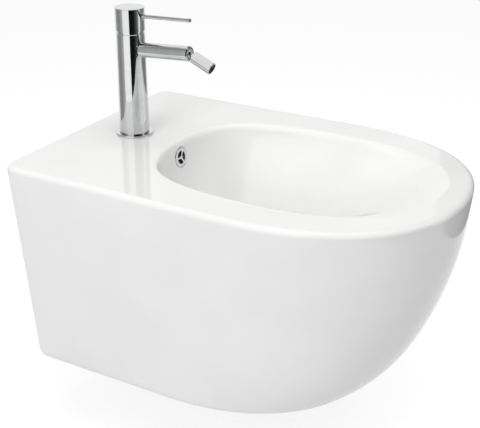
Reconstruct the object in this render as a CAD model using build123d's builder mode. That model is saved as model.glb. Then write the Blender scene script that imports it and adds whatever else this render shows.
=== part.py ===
from build123d import *
from math import atan2, cos, radians, sin, sqrt, tan
import os

# Wall hung bidet: a glazed bowl with a single lever tap, an overflow and a push plug waste.
# Millimetres, +Z up. The wall is the plane y = 0 and the bidet stands out from it towards -Y.
# The origin lies on the wall, midway between the two fixing holes.

# Overall sizes of the glazed body
body_width = 376.0
body_length = 550.0
body_height = 302.0
deck_height = 95.0  # deck above the fixing holes
foot_width = 313.0  # width at the foot, against the wall
foot_length = 397.0  # reach of the foot from the wall
rim_straight = 332.0  # straight run of the sides at the deck
foot_straight = 222.0  # straight run of the sides at the foot
front_fullness = 0.62  # handle length of the front curve, as a share of its reach
underside_power = 1.81  # how square the underside turns into the foot
rim_round = 7.0
foot_round = 16.0
back_corner_round = 22.0  # upright corners against the wall
back_ground_off = 0.4  # taken off the back to make it flat

# Walls of the glazed body
deck_thickness = 14.0
skirt_wall = 11.0
front_wall = 17.0  # measured level, so that the sloping front keeps its thickness
back_wall = 14.0
foot_wall = 11.0
bowl_wall = 11.0

# Bowl
bowl_back = 151.0  # wall to the bowl's back edge
bowl_front = 512.0  # wall to the bowl's front edge
bowl_half_width = 128.0
bowl_depth = 128.0
bowl_rim_round = 8.0
bowl_fullness = 0.665  # handle length of the front curve, as a share of its reach
bowl_back_fullness = 0.75
bowl_back_power = 2.0
bowl_side_power = 1.35
bowl_front_power = 0.75

# Waste hole
waste_setback = 250.0
bowl_floor_radius = 34.0
waste_hole_radius = 23.0
waste_boss_radius = 37.0

# Wall fixing and openings in the back
fixing_spacing = 180.0
fixing_hole_radius = 11.0
fixing_boss_size = 46.0
fixing_boss_depth = 34.0
back_slot_width = 112.0
back_slot_foot = -40.0
back_window_width = 210.0
back_window_margin = 34.0  # solid foot left under the window
foot_window_margin = 44.0  # lip left round the opening under the foot

# Tap hole, overflow hole and its duct
tap_setback = 78.0
tap_hole_radius = 17.5
overflow_depth = 22.0
overflow_hole_radius = 11.0
overflow_seat_radius = 14.4
overflow_seat_depth = 0.8
duct_width = 26.0
duct_gap = 11.0
duct_skin = 7.0
duct_bowl_wall = 10.5
duct_floor_wall = 6.0
duct_top_margin = 1.0  # duct over the overflow hole
duct_shares = (0.0, 0.3, 0.55, 0.77, 0.92, 1.0)
duct_entry_depth = 5.5  # overflow hole past the bowl's wall

# Tap column, heights over the deck
flange_radius = 26.0
flange_height = 3.2
flange_lip = 1.4
flange_round = 1.2
gasket_height = 1.6
spigot_radius = 16.8
spigot_drop = 4.0
seat_clearance = 0.2  # radial clearance of a piece that is only located
thread_clearance = 0.05  # radial clearance of a screwed piece, drawn without its thread
running_clearance = 0.05  # radial clearance of a turning or sliding piece
rocking_clearance = 0.3  # clearance round a piece that rocks
cut_past = 2.0  # how far a cut runs past a surface
column_foot_radius = 20.5
column_top_radius = 19.5
column_top = 141.6
column_edge = 0.6
foot_groove_height = 1.0
foot_groove_depth = 0.8
inlet_spacing = 16.4
inlet_setback = 4.0  # inlets lie this far behind the tap's axis
inlet_radius = 4.5
inlet_depth = 12.0
water_way_radius = 3.0
outlet_drop = 4.8  # arm's axis down to the outlet's mouth

# Cartridge, from the floor of its chamber upwards
cartridge_floor = 117.0
cartridge_radius = 12.5
cartridge_base_height = 5.0
fixed_disc_height = 4.0
moving_disc_height = 5.0
moving_disc_radius = 8.6
fixed_disc_radius = 11.1
disc_pocket_radius = 11.2
film_gap = 0.05  # between the faces that slide on each other
carrier_radius = 9.5
carrier_lip_radius = 10.9
carrier_lip_height = 1.5
pivot_rise = 5.7  # pivot of the spindle over the carrier's foot
carrier_rise = 6.5  # top of the carrier over the pivot
housing_neck_wall = 1.0
housing_shoulder = 17.3  # shoulder over the chamber's floor
housing_top_gap = 0.5
retaining_nut_radius = 13.9
retaining_nut_height = 5.4
notch_count = 4
notch_width = 3.0
notch_depth = 1.8
spindle_width = 7.0
spindle_top = 158.0
spindle_arm = 6.5  # pivot down to the ball that drives the disc
spindle_ball_radius = 2.4
spindle_tail_radius = 1.8
spindle_ball_play = 0.15  # along the disc's slide, as the ball swings on an arc
pivot_pin_radius = 1.25
port_radius = 2.4
port_seal_radius = 3.6
port_seal_height = 1.2
port_ring = 6.6  # ports' distance from the cartridge's axis
port_angles = (30, 150, 270)

# Handle
lift_angle = 20.0
turn_angle = 45.0
cap_radius = 20.0
cap_foot = 145.0
cap_top = 175.0
cap_wall = 1.2
cap_roof = 17.0
cap_edge = 0.9
cap_boss_radius = 7.5
cap_boss_foot = 150.6
dome_radius = 20.2
dome_top = 149.0
neck_radius = 18.6
neck_wall = 1.7
neck_spigot_radius = 17.0
neck_spigot_drop = 1.5
lever_radius = 2.75
lever_reach = 94.0  # tap's axis to the lever's tip
lever_height = 163.6
lever_rise = 2.5
lever_spigot_radius = 2.45
lever_spigot_start = 5.5
lever_recess_radius = 5.2
lever_recess_depth = 3.0
lever_edge = 0.4
lever_groove_setback = 3.2
lever_groove_width = 0.5
lever_groove_depth = 0.35
grub_radius = 2.0
grub_length = 4.0
grub_height = 154.4
grub_hex_radius = 1.15
grub_hex_depth = 2.0
access_plug_radius = 2.8
access_plug_edge = 0.1  # plug under the face of the cap

# Spout arm and its ball joint
arm_radius = 10.0
arm_height = 118.6  # arm's axis where it meets the tap's axis
arm_rise = 3.5
arm_reach = 92.2
arm_bore_radius = 4.5
arm_spigot_radius = 8.0
arm_spigot_start = 14.4
arm_edge = 0.6
saddle_gap = 0.05
collar_radius = 8.7
collar_thickness = 1.2
collar_thread_radius = 7.9
collar_thread_length = 4.4
collar_edge = 0.3
ball_radius = 6.5
ball_setback = 1.5  # ball's centre behind the end of the arm
ball_seat_radius = 6.4
ball_seat_length = 4.4
ball_seat_depth = 7.5  # ball's centre to the foot of the seat
ball_seat_bore = 3.4

# Nozzle, along its own axis from the ball's centre
nozzle_droop = 24.0  # under the level, as it is left
nozzle_swing = 29.0  # most that it leans from the arm's axis
nozzle_radius = 8.2
nozzle_length = 30.0
nozzle_wall = 1.2
nozzle_edge = 0.5
nozzle_gap = 0.35
neck_pipe_radius = 3.6
neck_pipe_bore = 2.2
nozzle_back_wall = 2.4
nozzle_chamber_radius = 6.0
aerator_recess = 2.6
aerator_length = 9.0
aerator_washer_height = 1.6
aerator_washer_width = 1.95
aerator_hole_radius = 0.75
aerator_rings = ((2.2, 6), (4.3, 12))  # ring radius and its number of holes
aerator_rim = 1.2
aerator_dish = 1.5

# Tap fixing under the deck
stud_radius = 3.95
stud_setback = -9.0  # stud lies this far in front of the tap's axis
stud_length = 62.0
stud_hold = 12.0
horseshoe_radius = 24.0
horseshoe_mouth = 27.0
horseshoe_bridge = 2.5  # between the stud's hole and the open side
horseshoe_rubber_height = 3.0
horseshoe_plate_height = 2.5
stud_nut_width = 13.0
stud_nut_height = 12.0

# Waste, heights over the floor of the bowl
waste_radius = 20.9
waste_bore = 18.5
waste_length = 80.0
waste_tail_radius = 20.0  # plain spigot under the thread
waste_tail_length = 16.0
waste_lower_bore = 16.8
waste_ledge = 31.0
waste_flange_radius = 31.0
waste_flange_height = 2.4
waste_flange_edge = 1.0
waste_mouth_edge = 1.2
waste_washer_height = 1.2
waste_slot_width = 13.0
waste_slot_count = 4
lower_seal_radius = 29.0
lower_seal_height = 5.0
lower_seal_slope = 2.0
slip_washer_height = 1.5
waste_nut_width = 58.0
waste_nut_height = 12.0
waste_nut_edge = 0.8
plug_radius = 26.0
plug_height = 4.2
plug_crown = 2.6
plug_edge = 0.6
plug_lift = 1.0  # plug over the flange, when shut
plug_travel = 8.0
plug_seal_radius = 22.6
plug_seal_width = 2.0
plug_stem_radius = 4.0
plug_stem_length = 27.0
click_hub_radius = 6.6
click_hub_height = 24.0
click_ring_height = 7.0
click_ring_wall = 2.0
click_rib_width = 2.4
click_rib_count = 3
click_floor = 2.0

# Overflow ring and its sleeve
ring_radius = 13.8
ring_height = 2.0
ring_round = 1.4
ring_opening = 9.1
ring_spigot_radius = 9.8
ring_spigot_length = 6.0
spoke_width = 2.4
spoke_count = 3
spoke_hub_radius = 2.4
sleeve_length = 9.0

# Wall fixing sleeves
sleeve_bore = 6.5
sleeve_clearance = 0.2
sleeve_collar_radius = 15.0
sleeve_collar_height = 3.0
fixing_washer_radius = 14.0
fixing_washer_height = 2.5

os.makedirs("parts", exist_ok=True)

foot_level = deck_height - body_height
fixing_places = (-fixing_spacing / 2, fixing_spacing / 2)


def save(piece, name):
    """Label a finished piece and write its STEP file."""
    piece.label = name
    export_step(piece, f"parts/{name}.step")


def front_outline(level, half_width, back, straight, length, corner):
    """A level slice of the body: straight sides, rounded corners at the wall and a full rounded front."""
    reach = length - straight
    with BuildSketch(Plane.XY.offset(level)) as outline:
        with BuildLine():
            FilletPolyline(
                (-half_width, -straight),
                (-half_width, -back),
                (half_width, -back),
                (half_width, -straight),
                radius=corner,
            )
            Bezier(
                (half_width, -straight),
                (half_width, -straight - front_fullness * reach),
                (front_fullness * half_width, -length),
                (0, -length),
            )
            Bezier(
                (0, -length),
                (-front_fullness * half_width, -length),
                (-half_width, -straight - front_fullness * reach),
                (-half_width, -straight),
            )
        make_face()
    return outline.sketch


def body_slice(height, wall=0.0, front=0.0, back=0.0, inset=0.0):
    """A slice of the body at a height over the foot, drawn in by its walls and by an inset all round."""
    drop = 1 - height / body_height
    half_width = body_width / 2 - (body_width - foot_width) / 2 * drop
    straight = rim_straight - (rim_straight - foot_straight) * drop
    length = foot_length + (body_length - foot_length) * (1 - drop**underside_power) ** (1 / underside_power)
    return front_outline(
        foot_level + height,
        half_width - wall - inset,
        back,
        straight,
        length - front - inset,
        back_corner_round - wall,
    )


def back_edge(depth):
    """Distance from the wall to the back of the bowl at a depth under the deck."""
    floor_back = waste_setback - bowl_floor_radius
    share = (1 - (depth / bowl_depth) ** bowl_back_power) ** (1 / bowl_side_power)
    return floor_back - (floor_back - bowl_back) * share


def bowl_slice(depth, grow=0.0, drop=0.0):
    """A slice of the bowl at a depth under the deck, grown all round and lowered for its outer side."""
    share = depth / bowl_depth
    side = (1 - share**bowl_side_power) ** (1 / bowl_side_power)
    half_width = bowl_floor_radius + (bowl_half_width - bowl_floor_radius) * side + grow
    back = back_edge(depth) - grow
    floor_front = waste_setback + bowl_floor_radius
    front = floor_front + (bowl_front - floor_front) * (1 - share**bowl_front_power) + grow
    middle = (back + front) / 2
    reach = (front - back) / 2
    with BuildSketch(Plane.XY.offset(deck_height - depth - drop)) as outline:
        with BuildLine():
            for x_side, y_side in ((1, 1), (-1, 1), (-1, -1), (1, -1)):
                fullness = bowl_back_fullness if y_side > 0 else bowl_fullness
                points = [
                    (x_side * half_width, -middle),
                    (x_side * half_width, -middle + y_side * fullness * reach),
                    (x_side * fullness * half_width, -middle + y_side * reach),
                    (0, -middle + y_side * reach),
                ]
                Bezier(*(points if x_side * y_side > 0 else reversed(points)))
        make_face()
    return outline.sketch


def stack(slices):
    """A smooth solid through level slices, from the highest to the lowest."""
    with BuildPart() as solid:
        loft(slices)
    return solid.part


# Glazed body: a hollow skirt, open at the back and under the foot, round the shell of the bowl
upper_steps = (0, 15, 30, 45, 60)
upper_heights = [body_height * (1 - sin(radians(step)) ** (2 / underside_power)) for step in upper_steps]
round_steps = (0, 30, 60, 90)
bowl_shares = (0.0, 0.05, 0.13, 0.25, 0.4, 0.56, 0.72, 0.86, 0.95, 1.0)
bowl_depths = [share * bowl_depth for share in bowl_shares]
lower_depths = [depth for depth in bowl_depths if depth > 1.5 * bowl_rim_round]
cavity_heights = [body_height - deck_thickness] + upper_heights[1:] + [foot_wall]
waste_boss_height = duct_floor_wall + duct_gap + duct_skin
slot_top = deck_height - deck_thickness
window_foot = foot_level + back_window_margin

waste_plane = Plane((0, -waste_setback, deck_height - bowl_depth), x_dir=(1, 0, 0), z_dir=(0, 0, 1))
tap_deck = Plane((0, -tap_setback, deck_height), x_dir=(1, 0, 0), z_dir=(0, 0, 1))
back_slope = atan2(back_edge(overflow_depth + 1) - back_edge(overflow_depth - 1), 2)
overflow_place = (0, -back_edge(overflow_depth), deck_height - overflow_depth)
overflow_plane = Plane(overflow_place, x_dir=(1, 0, 0), z_dir=(0, -cos(back_slope), sin(back_slope)))

duct_top = overflow_depth - overflow_hole_radius - duct_top_margin
duct_run = bowl_depth - overflow_depth
duct_depths = [duct_top] + [overflow_depth + share * duct_run for share in duct_shares]
duct_front = [(-(back_edge(depth) - duct_bowl_wall), -depth) for depth in duct_depths]
duct_rear = [(y + duct_gap, z) for y, z in duct_front]
duct_exit = -bowl_depth - duct_floor_wall
duct_foot = [
    (-back_edge(bowl_depth) + duct_bowl_wall, duct_exit),
    (-waste_setback, duct_exit),
    (-waste_setback, duct_exit - duct_gap),
    (-back_edge(bowl_depth) + duct_bowl_wall + duct_gap, duct_exit - duct_gap),
]
duct_skin_foot = duct_exit - duct_gap - duct_skin
duct_skin_rear = [(y + duct_skin, z) for y, z in duct_rear]
foot_window = front_outline(
    foot_level,
    foot_width / 2 - foot_window_margin,
    foot_window_margin,
    foot_straight,
    foot_length - foot_window_margin,
    back_corner_round,
)
side_plane = Plane((0, 0, deck_height), x_dir=(0, 1, 0), z_dir=(1, 0, 0))

with BuildPart() as ceramic_body:
    add(stack([body_slice(height, back=-back_ground_off) for height in upper_heights + [foot_round]]))
    add(stack([
        body_slice(
            foot_round * (1 - sin(radians(step))),
            back=-back_ground_off,
            inset=foot_round * (1 - cos(radians(step))),
        )
        for step in round_steps
    ]))
    fillet(ceramic_body.edges().group_by(Axis.Z)[-1], radius=rim_round)
    with BuildSketch(Plane.XZ):
        Rectangle(body_width * 2, body_height * 2)
    extrude(amount=-cut_past, mode=Mode.SUBTRACT)
    with BuildPart(mode=Mode.PRIVATE) as hollow:
        add(stack([body_slice(height, skirt_wall, front_wall, back_wall) for height in cavity_heights]))
        add(
            stack([bowl_slice(depth, bowl_wall, bowl_wall * depth / bowl_depth) for depth in bowl_depths]),
            mode=Mode.SUBTRACT,
        )
        with BuildSketch(waste_plane):
            Circle(waste_boss_radius)
        extrude(amount=-waste_boss_height, mode=Mode.SUBTRACT)
        with BuildSketch(side_plane):
            Polygon(
                *duct_front,
                (-waste_setback, duct_exit),
                (-waste_setback, duct_skin_foot),
                (duct_skin_rear[-1][0], duct_skin_foot),
                *reversed(duct_skin_rear),
            )
        extrude(amount=duct_width / 2 + duct_skin, both=True, mode=Mode.SUBTRACT)
        with Locations(*[(x, -fixing_boss_depth / 2, 0) for x in fixing_places]):
            Box(fixing_boss_size, fixing_boss_depth, fixing_boss_size, mode=Mode.SUBTRACT)
    add(hollow.part, mode=Mode.SUBTRACT)
    add(stack([bowl_slice(depth) for depth in [bowl_rim_round] + lower_depths]), mode=Mode.SUBTRACT)
    add(
        stack([
            bowl_slice(bowl_rim_round * (1 - sin(radians(step))), bowl_rim_round * (1 - cos(radians(step))))
            for step in reversed(round_steps)
        ]),
        mode=Mode.SUBTRACT,
    )
    with Locations(tap_deck):
        Hole(tap_hole_radius, depth=deck_thickness * 2)
    with Locations(waste_plane):
        Hole(waste_hole_radius, depth=waste_boss_height * 2)
    with BuildSketch(overflow_plane.offset(-overflow_seat_depth)):
        Circle(overflow_seat_radius)
    extrude(amount=bowl_wall, mode=Mode.SUBTRACT)
    with BuildSketch(overflow_plane.offset(bowl_wall)):
        Circle(overflow_hole_radius)
    extrude(amount=-(bowl_wall + duct_bowl_wall + duct_entry_depth), mode=Mode.SUBTRACT)
    with BuildSketch(side_plane):
        Polygon(*duct_front, *duct_foot, *reversed(duct_rear))
    extrude(amount=duct_width / 2, both=True, mode=Mode.SUBTRACT)
    with Locations(*[Plane((x, 0, 0), x_dir=(1, 0, 0), z_dir=(0, 1, 0)) for x in fixing_places]):
        Hole(fixing_hole_radius, depth=fixing_boss_depth)
    with BuildSketch(Plane.XZ):
        with Locations((0, (slot_top + back_slot_foot) / 2)):
            Rectangle(back_slot_width, slot_top - back_slot_foot)
        with Locations((0, (back_slot_foot + window_foot) / 2)):
            Rectangle(back_window_width, back_slot_foot - window_foot)
    extrude(amount=back_wall + cut_past, both=True, mode=Mode.SUBTRACT)
    with BuildSketch(Plane.XY.offset(foot_level)):
        add(foot_window)
    extrude(amount=foot_wall + cut_past, mode=Mode.SUBTRACT)
save(ceramic_body.part, "ceramic_body")

# Overflow: a bright ring with three spokes, held in the glazed hole by a plastic sleeve
overflow_seat = overflow_plane.offset(-overflow_seat_depth)
overflow_axis = Axis(overflow_seat.origin, overflow_seat.z_dir)
with BuildPart() as overflow_ring:
    with BuildSketch(overflow_seat):
        Circle(ring_radius)
    extrude(amount=ring_height)
    fillet(overflow_ring.edges().sort_by(overflow_axis)[-1], radius=ring_round)
    with BuildSketch(overflow_seat):
        Circle(ring_spigot_radius)
    extrude(amount=-ring_spigot_length)
    with BuildSketch(overflow_seat.offset(ring_height)):
        Circle(ring_opening)
        with PolarLocations(ring_opening / 2, spoke_count, start_angle=60):
            Rectangle(ring_opening, spoke_width, mode=Mode.SUBTRACT)
        Circle(spoke_hub_radius, mode=Mode.SUBTRACT)
    extrude(amount=-ring_height - ring_spigot_length, mode=Mode.SUBTRACT)
    with BuildSketch(overflow_seat):
        Circle(ring_opening)
    extrude(amount=-ring_spigot_length, mode=Mode.SUBTRACT)
save(overflow_ring.part, "overflow_ring")

with BuildPart() as overflow_sleeve:
    with BuildSketch(overflow_seat.offset(-film_gap)):
        Circle(overflow_hole_radius - seat_clearance)
        Circle(ring_spigot_radius + thread_clearance, mode=Mode.SUBTRACT)
    extrude(amount=-sleeve_length)
save(overflow_sleeve.part, "overflow_sleeve")



def at_fixing(x, distance):
    """A plane square to a fixing hole's axis, at a distance from the wall, that faces away from it."""
    return Plane((x, -distance, 0), x_dir=(1, 0, 0), z_dir=(0, -1, 0))


# Wall fixing sleeves, with their washers: right and left as for someone with their back to the wall
collar_end = fixing_boss_depth + sleeve_collar_height
for side, x in zip(("right", "left"), fixing_places):
    with BuildPart() as fixing_sleeve:
        with BuildSketch(at_fixing(x, 0)):
            Circle(fixing_hole_radius - sleeve_clearance)
        extrude(amount=fixing_boss_depth)
        with BuildSketch(at_fixing(x, fixing_boss_depth)):
            Circle(sleeve_collar_radius)
        extrude(amount=sleeve_collar_height)
        with Locations(at_fixing(x, collar_end)):
            Hole(sleeve_bore, depth=collar_end)
    save(fixing_sleeve.part, f"fixing_sleeve_{side}")
    with BuildPart() as fixing_washer:
        with BuildSketch(at_fixing(x, collar_end)):
            Circle(fixing_washer_radius)
            Circle(sleeve_bore, mode=Mode.SUBTRACT)
        extrude(amount=fixing_washer_height)
    save(fixing_washer.part, f"fixing_washer_{side}")

# Tap column: profiles are drawn as (radius, height over the deck) and spun round the tap's axis
column_plane = Plane((0, -tap_setback, deck_height), x_dir=(1, 0, 0), z_dir=(0, -1, 0))
column_axis = Axis(column_plane.origin, (0, 0, 1))


def over_deck(height):
    """A level plane on the tap's axis, at a height over the deck."""
    return Plane((0, -tap_setback, deck_height + height), x_dir=(1, 0, 0), z_dir=(0, 0, 1))


def tilted_axis(place, rise):
    """A plane whose x axis points to the front and rises by an angle, for pieces turned about that axis."""
    return Plane(place, x_dir=(0, -cos(radians(rise)), sin(radians(rise))), z_dir=(-1, 0, 0))


base_top = cartridge_floor + cartridge_base_height
fixed_disc_top = base_top + fixed_disc_height
moving_disc_top = fixed_disc_top + film_gap + moving_disc_height
carrier_foot = moving_disc_top + film_gap * 4
pivot_height = carrier_foot + pivot_rise
carrier_top = pivot_height + carrier_rise
shoulder_height = cartridge_floor + housing_shoulder
nut_top = shoulder_height + retaining_nut_height
chamber_radius = cartridge_radius + seat_clearance
rebate_foot = column_top - neck_spigot_drop - seat_clearance
arm_plane = tilted_axis((0, -tap_setback, deck_height + arm_height), arm_rise)
arm_axis = Axis(arm_plane.origin, arm_plane.x_dir)
inlet_places = [(side * inlet_spacing / 2, inlet_setback) for side in (-1, 1)]
port_places = [(port_ring * cos(radians(angle)), port_ring * sin(radians(angle))) for angle in port_angles]
column_socket = arm_spigot_start - film_gap * 4
socket_start = arm_plane.origin + arm_plane.x_dir * column_socket
outlet_start = Vector(0, -tap_setback - port_ring + water_way_radius, deck_height + cartridge_floor)
outlet_end = Vector(0, -tap_setback - column_socket, deck_height + arm_height - outlet_drop)
outlet_run = outlet_end - outlet_start
pivot_plane = Plane((0, -tap_setback, deck_height + pivot_height), x_dir=(0, 1, 0), z_dir=(1, 0, 0))

with BuildPart() as base_gasket:
    with BuildSketch(over_deck(0)):
        Circle(flange_radius - flange_lip - seat_clearance)
        Circle(tap_hole_radius + seat_clearance, mode=Mode.SUBTRACT)
    extrude(amount=gasket_height)
save(base_gasket.part, "base_gasket")

with BuildPart() as base_flange:
    with BuildSketch(column_plane):
        Polygon(
            (spigot_radius + seat_clearance, gasket_height),
            (flange_radius - flange_lip, gasket_height),
            (flange_radius - flange_lip, film_gap),
            (flange_radius, film_gap),
            (flange_radius, flange_height),
            (spigot_radius + seat_clearance, flange_height),
        )
    revolve(axis=column_axis)
    fillet(base_flange.edges().group_by(Axis.Z)[-1].sort_by(SortBy.RADIUS)[-1], radius=flange_round)
save(base_flange.part, "base_flange")

with BuildPart() as tap_body:
    with BuildSketch(column_plane):
        Polygon(
            (0, -spigot_drop),
            (spigot_radius, -spigot_drop),
            (spigot_radius, flange_height),
            (column_foot_radius - foot_groove_depth, flange_height),
            (column_foot_radius - foot_groove_depth, flange_height + foot_groove_height),
            (column_foot_radius, flange_height + foot_groove_height),
            (column_top_radius, column_top - column_edge),
            (column_top_radius - column_edge, column_top),
            (neck_spigot_radius + seat_clearance, column_top),
            (neck_spigot_radius + seat_clearance, rebate_foot),
            (retaining_nut_radius + thread_clearance, rebate_foot),
            (retaining_nut_radius + thread_clearance, shoulder_height),
            (chamber_radius, shoulder_height),
            (chamber_radius, cartridge_floor),
            (0, cartridge_floor),
        )
    revolve(axis=column_axis)
    with BuildSketch(Plane(socket_start, x_dir=(1, 0, 0), z_dir=arm_plane.x_dir)):
        Circle(arm_spigot_radius + thread_clearance)
    extrude(amount=column_foot_radius, mode=Mode.SUBTRACT)
    with Locations(over_deck(-spigot_drop)):
        with Locations(*inlet_places):
            Cylinder(
                inlet_radius,
                inlet_depth,
                align=(Align.CENTER, Align.CENTER, Align.MIN),
                mode=Mode.SUBTRACT,
            )
            Cylinder(
                water_way_radius,
                cartridge_floor + spigot_drop,
                align=(Align.CENTER, Align.CENTER, Align.MIN),
                mode=Mode.SUBTRACT,
            )
        with Locations((0, stud_setback)):
            Cylinder(
                stud_radius + thread_clearance,
                stud_hold + film_gap,
                align=(Align.CENTER, Align.CENTER, Align.MIN),
                mode=Mode.SUBTRACT,
            )
    with BuildSketch(Plane(outlet_start, x_dir=(1, 0, 0), z_dir=outlet_run)):
        Circle(port_radius)
    extrude(amount=outlet_run.length + port_radius, mode=Mode.SUBTRACT)
save(tap_body.part, "tap_body")

# Cartridge: base, seals, housing, two ceramic discs, the turning carrier and the rocking spindle
with BuildPart() as cartridge_base:
    with BuildSketch(over_deck(cartridge_floor)):
        Circle(cartridge_radius)
    extrude(amount=cartridge_base_height)
    with BuildSketch(over_deck(cartridge_floor)):
        with Locations(*port_places):
            Circle(port_radius)
    extrude(amount=cartridge_base_height, mode=Mode.SUBTRACT)
    with BuildSketch(over_deck(cartridge_floor)):
        with Locations(*port_places):
            Circle(port_seal_radius + film_gap)
    extrude(amount=port_seal_height, mode=Mode.SUBTRACT)
save(cartridge_base.part, "cartridge_base")

with BuildPart() as port_seals:
    with BuildSketch(over_deck(cartridge_floor)):
        with Locations(*port_places):
            Circle(port_seal_radius)
            Circle(port_radius, mode=Mode.SUBTRACT)
    extrude(amount=port_seal_height)
save(port_seals.part, "port_seals")

with BuildPart() as fixed_disc:
    with BuildSketch(over_deck(base_top)):
        Circle(fixed_disc_radius)
        with Locations(*port_places):
            Circle(port_radius, mode=Mode.SUBTRACT)
    extrude(amount=fixed_disc_height)
save(fixed_disc.part, "fixed_disc")

disc_pocket_depth = spindle_arm + spindle_ball_radius - pivot_rise
with BuildPart() as moving_disc:
    with BuildSketch(over_deck(fixed_disc_top + film_gap)):
        Circle(moving_disc_radius)
    extrude(amount=moving_disc_height)
    with BuildSketch(over_deck(moving_disc_top)):
        Rectangle(
            2 * (spindle_ball_radius + running_clearance),
            2 * (spindle_ball_radius + spindle_ball_play),
        )
    extrude(amount=-disc_pocket_depth, mode=Mode.SUBTRACT)
save(moving_disc.part, "moving_disc")

pocket_top = carrier_foot + carrier_lip_height + 2 * film_gap
housing_top = carrier_top - housing_top_gap
housing_neck = carrier_radius + running_clearance + housing_neck_wall
with BuildPart() as cartridge_housing:
    with BuildSketch(column_plane):
        Polygon(
            (disc_pocket_radius, base_top),
            (cartridge_radius, base_top),
            (cartridge_radius, shoulder_height),
            (housing_neck, shoulder_height),
            (housing_neck, housing_top),
            (carrier_radius + running_clearance, housing_top),
            (carrier_radius + running_clearance, pocket_top),
            (disc_pocket_radius, pocket_top),
        )
    revolve(axis=column_axis)
save(cartridge_housing.part, "cartridge_housing")

lift = radians(lift_angle)
slot_half = spindle_width / 2 / cos(lift) + carrier_rise * tan(lift) + rocking_clearance
with BuildPart() as spindle_carrier:
    with BuildSketch(column_plane):
        Polygon(
            (0, carrier_foot),
            (carrier_lip_radius, carrier_foot),
            (carrier_lip_radius, carrier_foot + carrier_lip_height),
            (carrier_radius, carrier_foot + carrier_lip_height),
            (carrier_radius, carrier_top),
            (0, carrier_top),
        )
    revolve(axis=column_axis)
    with BuildSketch(over_deck(carrier_foot)):
        Rectangle(spindle_width + 2 * running_clearance, 2 * slot_half)
    extrude(amount=carrier_top, mode=Mode.SUBTRACT)
    with Locations(pivot_plane):
        Cylinder(pivot_pin_radius, 4 * carrier_radius, mode=Mode.SUBTRACT)
save(spindle_carrier.part, "spindle_carrier")

with BuildPart() as pivot_pin:
    with Locations(pivot_plane):
        Cylinder(pivot_pin_radius, 2 * (carrier_radius - rocking_clearance))
save(pivot_pin.part, "pivot_pin")

with BuildPart() as spindle:
    with BuildSketch(over_deck(pivot_height - spindle_width / 2)):
        Rectangle(spindle_width, spindle_width)
    extrude(amount=spindle_top - pivot_height + spindle_width / 2)
    with Locations(over_deck(pivot_height - spindle_arm)):
        Sphere(spindle_ball_radius)
        Cylinder(
            spindle_tail_radius,
            spindle_arm,
            align=(Align.CENTER, Align.CENTER, Align.MIN),
        )
    with Locations(pivot_plane):
        Cylinder(pivot_pin_radius + running_clearance, 2 * spindle_width, mode=Mode.SUBTRACT)
save(spindle.part, "spindle")

with BuildPart() as retaining_nut:
    with BuildSketch(over_deck(shoulder_height)):
        Circle(retaining_nut_radius)
        Circle(housing_neck + seat_clearance, mode=Mode.SUBTRACT)
    extrude(amount=retaining_nut_height)
    with BuildSketch(over_deck(nut_top)):
        with PolarLocations(retaining_nut_radius, notch_count, start_angle=45):
            Rectangle(retaining_nut_radius - housing_neck, notch_width)
    extrude(amount=-notch_depth, mode=Mode.SUBTRACT)
save(retaining_nut.part, "retaining_nut")

# Neck ring: a dome centred on the pivot, so that the handle rocks over it with an even gap
dome_join = pivot_height + sqrt(dome_radius**2 - neck_radius**2)
dome_lip = sqrt(dome_radius**2 - (dome_top - pivot_height) ** 2)
dome_ends = [atan2(dome_join - pivot_height, neck_radius), atan2(dome_top - pivot_height, dome_lip)]
dome_turn = sum(dome_ends) / 2
dome_middle = (dome_radius * cos(dome_turn), pivot_height + dome_radius * sin(dome_turn))
with BuildPart() as neck_ring:
    with BuildSketch(column_plane):
        with BuildLine():
            ThreePointArc((neck_radius, dome_join), dome_middle, (dome_lip, dome_top))
            Polyline(
                (dome_lip, dome_top),
                (dome_lip - neck_wall, dome_top),
                (neck_spigot_radius - neck_wall, dome_join - neck_wall),
                (neck_spigot_radius - neck_wall, column_top - neck_spigot_drop),
                (neck_spigot_radius, column_top - neck_spigot_drop),
                (neck_spigot_radius, column_top),
                (neck_radius, column_top),
                (neck_radius, dome_join),
            )
        make_face()
    revolve(axis=column_axis)
save(neck_ring.part, "neck_ring")

# Handle: the cap, its lever, the screw that holds it on the spindle and the plug that hides the screw
lever_plane = tilted_axis((0, -tap_setback, deck_height + lever_height), lever_rise)
lever_axis = Axis(lever_plane.origin, lever_plane.x_dir)
rear_plane = tilted_axis((0, -tap_setback, deck_height + grub_height), 180)
rear_axis = Axis(rear_plane.origin, rear_plane.x_dir)
socket_half = spindle_width / 2 + running_clearance
cap_ceiling = cap_top - cap_roof
recess_foot = cap_radius - lever_recess_depth
groove_start = lever_reach - lever_groove_setback
grub_start = socket_half + film_gap
grub_end = grub_start + grub_length
grub_face = Plane(
    rear_plane.origin + rear_plane.x_dir * grub_end,
    x_dir=(1, 0, 0),
    z_dir=rear_plane.x_dir,
)

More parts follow.
